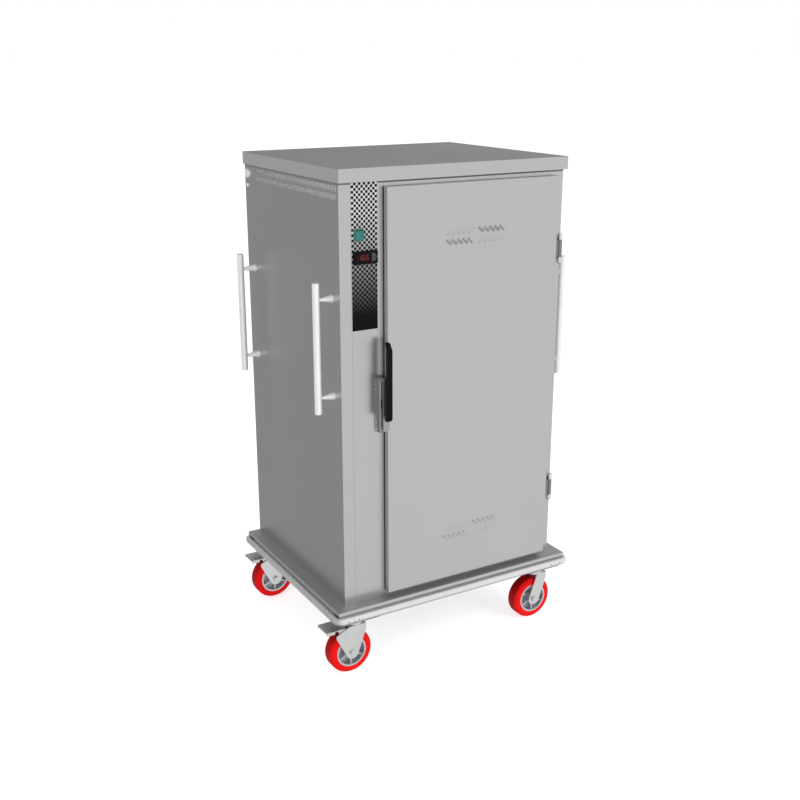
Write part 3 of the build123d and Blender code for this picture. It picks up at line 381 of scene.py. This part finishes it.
# dark steel; the dark tone on the door's hinge knuckles is painted shade
hinge_dark = cast_metal("hinge_steel", (0.30, 0.30, 0.31), 1.0, 0.36, 800.0)
cast_grey = cast_metal("cast_grey", (0.42, 0.42, 0.43), 0.9, 0.40, 1000.0)
black_gloss = moulded("black_plastic", (0.003, 0.003, 0.003), 0.30, Specular_IOR_Level=0.10)
key_plastic = moulded("key_plastic", (0.045, 0.055, 0.050), 0.45, Specular_IOR_Level=0.2)
white_plastic = moulded("white_plastic", (0.72, 0.72, 0.71), 0.30)
motor_paint = cast_metal("motor_paint", (0.05, 0.05, 0.055), 0.0, 0.45, 1300.0)
red_tread = polyurethane()
film = overlay_film()
green = green_plastic()
mineral_wool = wool()
seal_rubber = rubber("seal_rubber", 0.05)
element_steel = heated_steel()

NODE_MATERIALS = {
    steel_up: ["side_panel_left", "side_panel_right", "back_panel", "front_frame", "control_fascia",
               "door_outer_skin"],
    steel_cover: ["top_cover"],
    steel_tray: ["base_tray"],
    liner: ["chamber_liner", "door_inner_pan", "air_duct"],
    wire_steel: ["shelf_rails", "wire_shelves"],
    bumper_metal: ["bumper_rails", "bumper_corners"],
    zinc: ["castor_plates", "castor_bolts", "latch_bolt"],
    powder_and_gap_shade: ["base_frame"],
    chrome: ["hinge_frame_leaves", "hinge_pins", "trim_screws"],
    bar_metal: ["push_bars", "push_bar_standoffs", "power_inlet"],
    # painted shade: the door's middle hinge knuckles are given the dark tone
    hinge_dark: ["hinge_door_leaves"],
    cast_grey: ["latch_keeper", "latch_body"],
    black_gloss: ["latch_lever", "controller_housing"],
    key_plastic: ["controller_key_up", "controller_key_down"],
    white_plastic: ["reset_button"],
    motor_paint: ["fan_motor"],
    film: ["control_overlay"],
    green: ["rocker_bezel", "rocker_button"],
    mineral_wool: ["cabinet_insulation", "door_insulation"],
    seal_rubber: ["door_gasket"],
    element_steel: ["heater_element"],
    rim_cast: ["fan_impeller"],
}
for corner in ("fl", "fr", "rl", "rr"):
    NODE_MATERIALS[zinc] += [f"castor_fork_{corner}", f"castor_axle_{corner}"]
    NODE_MATERIALS[rim_cast].append(f"castor_rim_{corner}")
    NODE_MATERIALS.setdefault(red_tread, []).append(f"castor_tyre_{corner}")
for pedal in ("brake_pedal_fl", "brake_pedal_rl"):
    NODE_MATERIALS[zinc].append(pedal)

for finish, names in NODE_MATERIALS.items():
    for name in names:
        for slot in nodes[name].material_slots:
            slot.material = finish


# ---- mesh helpers --------------------------------------------------------------------------------
def piece(name, mesh_maker, finish, body="root"):
    """Makes an object from a bmesh, gives it its material and puts it on its body."""
    mesh = bpy.data.meshes.new(name)
    shape = bmesh.new()
    mesh_maker(shape)
    bmesh.ops.recalc_face_normals(shape, faces=shape.faces)
    shape.to_mesh(mesh)
    shape.free()
    made = bpy.data.objects.new(name, mesh)
    bpy.context.scene.collection.objects.link(made)
    mesh.materials.append(finish)
    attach(made, body)
    return made


def soften(made, width, segments=2, angle=35):
    """Rounds a piece's edges and shades it smooth."""
    bevel = made.modifiers.new("soft_edges", "BEVEL")
    bevel.width = width
    bevel.segments = segments
    bevel.limit_method = "ANGLE"
    bevel.angle_limit = math.radians(angle)
    made.data.shade_smooth()
    normals = made.modifiers.new("even_normals", "WEIGHTED_NORMAL")
    normals.keep_sharp = True
    return made


def add_prism(shape, outline, direction):
    """Adds a closed prism: outline is a list of points, direction the way it is thick."""
    base = [shape.verts.new(p) for p in outline]
    end = [shape.verts.new(Vector(p) + direction) for p in outline]
    shape.faces.new(base)
    shape.faces.new(reversed(end))
    for i, vert in enumerate(base):
        j = (i + 1) % len(base)
        shape.faces.new((vert, end[i], end[j], base[j]))


# ---- controls ------------------------------------------------------------------------------------
def segment_places(width, height, t):
    """Middle and direction of each bar of a seven-segment figure about its own middle."""
    w, h = width / 2 - t / 2, height / 2 - t / 2
    return {
        "a": ((0, h), True),
        "g": ((0, 0), True),
        "d": ((0, -h), True),
        "f": ((-w, h / 2), False),
        "b": ((w, h / 2), False),
        "e": ((-w, -h / 2), False),
        "c": ((w, -h / 2), False),
    }


def add_digits(shape, middle, width, height, pitch, depth):
    """Slanted seven-segment figures, each bar a flat hexagon a little proud of the display."""
    t = width * 0.2
    places = segment_places(width, height, t)
    for index, figure in enumerate(DISPLAY_TEXT):
        offset = (index - (len(DISPLAY_TEXT) - 1) / 2) * pitch
        for bar in SEGMENTS[figure]:
            (cx, cz), flat = places[bar]
            half = (width - t) / 2 - t * 0.12 if flat else (height - t) / 4 - t * 0.12
            hexagon = [(-half, 0), (-half + t / 2, t / 2), (half - t / 2, t / 2), (half, 0),
                       (half - t / 2, -t / 2), (-half + t / 2, -t / 2)]
            outline = []
            for u, v in hexagon:
                x, z = (u, v) if flat else (v, u)
                x, z = cx + x, cz + z
                outline.append((middle.x + offset + x + z * 0.14, middle.y, middle.z + z))
            add_prism(shape, outline, Vector((0, depth, 0)))


def display():
    """Dark window in the controller with lit figures, and a small status lamp."""
    low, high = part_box("controller_housing")
    key_low, key_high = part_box("controller_key_up")
    window_low = Vector((low.x + WINDOW_EDGE, low.y + WINDOW_Y[0], low.z + WINDOW_TOP))
    window_high = Vector((key_low.x - WINDOW_TO_KEYS, low.y + WINDOW_Y[1], high.z - WINDOW_TOP))

    def window(shape):
        x0, y0, z0 = window_low
        x1, y1, z1 = window_high
        outline = [(x0, y0, z0), (x1, y0, z0), (x1, y0, z1), (x0, y0, z1)]
        add_prism(shape, outline, Vector((0, y1 - y0, 0)))

    glass = moulded("display_window", (0.010, 0.001, 0.001), 0.15, Specular_IOR_Level=0.15)
    soften(piece("display_window", window, glass), 0.3 * MM)
    middle = (window_low + window_high) / 2
    middle.y = window_low.y - 0.12 * MM
    span = window_high.x - window_low.x
    figure_height = (window_high.z - window_low.z) * 0.68
    lit = glowing("display_red", (0.16, 0.004, 0.006), 0.12)

    def digits(shape):
        add_digits(shape, middle, span * 0.20, figure_height, span * 0.27, 0.2 * MM)

    piece("display_digits", digits, lit)

    def lamp(shape):
        place = Matrix.Translation((key_high.x + LAMP_FROM_KEYS, low.y, middle.z))
        bmesh.ops.create_uvsphere(shape, u_segments=16, v_segments=10, radius=LAMP_RADIUS, matrix=place)

    lamp_red = glowing("lamp_red", (0.25, 0.02, 0.02), 0.05)
    piece("status_lamp", lamp, lamp_red).data.shade_smooth()


# ---- door seal -----------------------------------------------------------------------------------
def door_seal():
    """Seal in place of the plain strips: mitred, with a rounded bulb on a wider foot."""
    low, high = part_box("door_gasket")
    depth = high.y - low.y
    # across from the outer edge to the inner edge, and out from the door's flange to the frame
    half = [(1.0, 0.28), (0.93, 0.34), (0.90, 0.55), (0.80, 0.80), (0.66, 0.95)]
    other_half = [(0.34, 0.95), (0.20, 0.80), (0.10, 0.55), (0.07, 0.34), (0.0, 0.28)]
    profile = [(0.0, 0.0), (1.0, 0.0), *half, (0.50, 1.0), *other_half]

    def seal(shape):
        rings = []
        for sx, sz in ((-1, -1), (1, -1), (1, 1), (-1, 1)):
            corner_x = low.x if sx < 0 else high.x
            corner_z = low.z if sz < 0 else high.z
            ring = []
            for u, v in profile:
                x = corner_x - sx * u * SEAL_WIDTH
                z = corner_z - sz * u * SEAL_WIDTH
                ring.append(shape.verts.new((x, low.y + v * depth, z)))
            rings.append(ring)
        for i, ring in enumerate(rings):
            after = rings[(i + 1) % 4]
            for j in range(len(ring)):
                k = (j + 1) % len(ring)
                shape.faces.new((ring[j], ring[k], after[k], after[j]))

    made = piece("door_seal", seal, seal_rubber, "door")
    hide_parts("door_gasket")
    soften(made, 0.3 * MM, 2, 50)


# ---- fixings -------------------------------------------------------------------------------------
def add_dome(shape, middle, normal, radius, rise):
    """A round-head rivet: half a flattened ball on a surface."""
    turn = Vector(normal).to_track_quat("Z", "Y").to_matrix().to_4x4()
    rings = []
    turns = [2 * math.pi * k / DOME_SIDES for k in range(DOME_SIDES)]
    for ring in range(DOME_RINGS):
        angle = math.pi / 2 * ring / DOME_RINGS
        r, h = radius * math.cos(angle), rise * math.sin(angle)
        rings.append([Vector((r * math.cos(t), r * math.sin(t), h)) for t in turns])
    place = Matrix.Translation(middle) @ turn
    verts = [[shape.verts.new(place @ p) for p in ring] for ring in rings]
    tip = shape.verts.new(place @ Vector((0, 0, rise)))
    for lower, upper in zip(verts, verts[1:]):
        for k in range(DOME_SIDES):
            after = (k + 1) % DOME_SIDES
            shape.faces.new((lower[k], lower[after], upper[after], upper[k]))
    for k in range(DOME_SIDES):
        shape.faces.new((verts[-1][k], verts[-1][(k + 1) % DOME_SIDES], tip))
    shape.faces.new(reversed(verts[0]))


def spread(low, high, step):
    """Evenly spaced values from low to high, about a step apart."""
    count = max(1, round((high - low) / step))
    return [low + (high - low) * i / count for i in range(count + 1)]


def back_fixings():
    """Pop rivets round the back panel."""
    low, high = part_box("back_panel")
    inset = RIVET_INSET
    places = []
    for z in spread(low.z + inset, high.z - inset, SCREW_STEP):
        places += [(low.x + inset, high.y, z), (high.x - inset, high.y, z)]
    for x in spread(low.x + inset, high.x - inset, SCREW_STEP)[1:-1]:
        places += [(x, high.y, low.z + inset), (x, high.y, high.z - inset)]

    def rivets(shape):
        for place in places:
            add_dome(shape, place, (0, 1, 0), 3.2 * MM, 1.3 * MM)

    piece("back_rivets", rivets, chrome).data.shade_smooth()


def bumper_fixings():
    """Rivets in the bumper's faces, either side of each corner joint."""
    low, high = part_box("bumper_corners")
    z = (low.z + high.z) / 2
    places = []
    for sx, edge_x in ((-1, low.x), (1, high.x)):
        for sy, edge_y in ((-1, low.y), (1, high.y)):
            for along in (CORNER_LENGTH - RIVET_FROM_JOINT, CORNER_LENGTH + RIVET_FROM_JOINT):
                places.append(((edge_x - sx * along, edge_y, z), (0, sy, 0)))
                places.append(((edge_x, edge_y - sy * along, z), (sx, 0, 0)))

    def rivets(shape):
        for place, normal in places:
            add_dome(shape, place, normal, 2.4 * MM, 0.9 * MM)

    piece("bumper_rivets", rivets, hinge_dark).data.shade_smooth()


def cover_shadow_bead():
    """Dark bead under the cover's edge, a painted shadow line, round the cabinet except across the
    overlay.
    """
    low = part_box("top_cover")[0]
    left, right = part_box("side_panel_left")[0].x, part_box("side_panel_right")[1].x
    front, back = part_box("front_frame")[0].y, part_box("back_panel")[1].y
    film_low, film_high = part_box("control_overlay")
    z0, z1 = low.z - SHADOW_BEAD_HEIGHT, low.z
    out = SHADOW_BEAD_OUT
    runs = [
        ((left, front - out), (film_low.x - MM, front)),
        ((film_high.x + MM, front - out), (right, front)),
        ((left, back), (right, back + out)),
        ((left - out, front), (left, back)),
        ((right, front), (right + out, back)),
    ]

    def bead(shape):
        for (x0, y0), (x1, y1) in runs:
            outline = [(x0, y0, z0), (x1, y0, z0), (x1, y1, z0), (x0, y1, z0)]
            add_prism(shape, outline, Vector((0, 0, z1 - z0)))

    # painted shadow: a dark strip standing in for the shade under the cover's edge
    soften(piece("cover_shadow_bead", bead, rubber("shadow_bead_grey", 0.13)), 0.3 * MM)


def vent_baffle():
    """Pale folded sheet behind the left side's vents."""
    low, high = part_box("side_panel_left")
    x0, x1 = low.x + BAFFLE_X[0], low.x + BAFFLE_X[1]
    y0, y1 = low.y + BAFFLE_Y[0], high.y - BAFFLE_Y[1]
    z0, z1 = high.z - BAFFLE_Z[0], high.z - BAFFLE_Z[1]

    def sheet(shape):
        outline = [(x0, y0, z0), (x1, y0, z0), (x1, y0, z1), (x0, y0, z1)]
        add_prism(shape, outline, Vector((0, y1 - y0, 0)))

    galvanised = cast_metal("galvanised", (0.86, 0.86, 0.86), 0.0, 0.5, 300.0, spread=0.03)
    soften(piece("vent_baffle", sheet, galvanised), 0.3 * MM)


# ---- studio --------------------------------------------------------------------------------------
def eased(tree, value, span, to):
    """Carries a value smoothly from one range to another."""
    made = tree.nodes.new("ShaderNodeMapRange")
    made.interpolation_type = "SMOOTHSTEP"
    made.inputs["From Min"].default_value, made.inputs["From Max"].default_value = span
    made.inputs["To Min"].default_value, made.inputs["To Max"].default_value = to
    tree.links.new(value, made.inputs["Value"])
    return made.outputs["Result"]


def world():
    """Soft studio: white to the eye, with one bright and one dim side for the metal to reflect."""
    made = bpy.data.worlds.new("studio")
    bpy.context.scene.world = made
    made.use_nodes = True
    tree = made.node_tree
    tree.nodes.clear()
    where = tree.nodes.new("ShaderNodeTexCoord").outputs["Generated"]

    toward = tree.nodes.new("ShaderNodeVectorMath")
    toward.operation = "DOT_PRODUCT"
    toward.inputs[1].default_value = STUDIO_SIDE.normalized()
    tree.links.new(where, toward.inputs[0])
    side = eased(tree, toward.outputs["Value"], (-0.6, 1.0), (STUDIO_DIM, STUDIO_BRIGHT))

    # the light falls off below, so the undersides of round edges look darker
    height = tree.nodes.new("ShaderNodeSeparateXYZ")
    tree.links.new(where, height.inputs["Vector"])
    below = eased(tree, height.outputs["Z"], (-0.92, -0.50), (0.30, 1.0))

    strength = tree.nodes.new("ShaderNodeMath")
    strength.operation = "MULTIPLY"
    tree.links.new(side, strength.inputs[0])
    tree.links.new(below, strength.inputs[1])
    around = tree.nodes.new("ShaderNodeBackground")
    tree.links.new(strength.outputs["Value"], around.inputs["Strength"])

    white = tree.nodes.new("ShaderNodeBackground")
    white.inputs["Color"].default_value = (1, 1, 1, 1)
    path = tree.nodes.new("ShaderNodeLightPath")
    mixer = tree.nodes.new("ShaderNodeMixShader")
    tree.links.new(path.outputs["Is Camera Ray"], mixer.inputs["Fac"])
    tree.links.new(around.outputs["Background"], mixer.inputs[1])
    tree.links.new(white.outputs["Background"], mixer.inputs[2])
    output = tree.nodes.new("ShaderNodeOutputWorld")
    tree.links.new(mixer.outputs["Shader"], output.inputs["Surface"])


def floor():
    """Pale floor that fades into the white surround and doesn't show in the metal."""
    mesh = bpy.data.meshes.new("floor")
    half = FLOOR_SIZE / 2
    corners = [(-half, -half, 0), (half, -half, 0), (half, half, 0), (-half, half, 0)]
    mesh.from_pydata(corners, [], [(0, 1, 2, 3)])
    made = bpy.data.objects.new("floor", mesh)
    bpy.context.scene.collection.objects.link(made)
    made.location.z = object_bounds()[0].z - 0.5 * MM
    shader = Shader("pale_floor", (0.88, 0.88, 0.88), 0.0, 0.9,
                    Emission_Color=(1, 1, 1, 1), Emission_Strength=0.62)
    mesh.materials.append(shader.material)
    made.visible_glossy = False
    made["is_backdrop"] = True


def softbox(name, place, aim, size, power):
    """A soft area light that the metal doesn't mirror."""
    data = bpy.data.lights.new(name, "AREA")
    data.shape = "RECTANGLE"
    data.size, data.size_y = size
    data.energy = power
    made = bpy.data.objects.new(name, data)
    bpy.context.scene.collection.objects.link(made)
    made.location = place
    made.rotation_euler = (Vector(aim) - Vector(place)).to_track_quat("-Z", "Y").to_euler()
    made.visible_glossy = False


def camera():
    """The camera that the front picture is taken from."""
    azimuth, elevation = math.radians(CAMERA_AZIMUTH), math.radians(CAMERA_ELEVATION)
    back = Vector((math.sin(azimuth) * math.cos(elevation), -math.cos(azimuth) * math.cos(elevation),
                   math.sin(elevation)))
    data = bpy.data.cameras.new("camera")
    data.lens, data.sensor_width = CAMERA_LENS, CAMERA_SENSOR
    made = bpy.data.objects.new("camera", data)
    bpy.context.scene.collection.objects.link(made)
    made.location = CAMERA_TARGET + back * CAMERA_DISTANCE
    made.rotation_euler = (-back).to_track_quat("-Z", "Y").to_euler()
    bpy.context.scene.camera = made


display()
door_seal()
back_fixings()
bumper_fixings()
cover_shadow_bead()
vent_baffle()
world()
floor()
softbox("key", (1.8, -3.4, 2.6), (0, 0, 0.8), (2.2, 2.2), 45)
softbox("fill", (-3.2, -1.6, 2.2), (0, 0, 0.8), (1.6, 2.4), 45)
camera()
bpy.context.scene.view_settings.view_transform = "Standard"
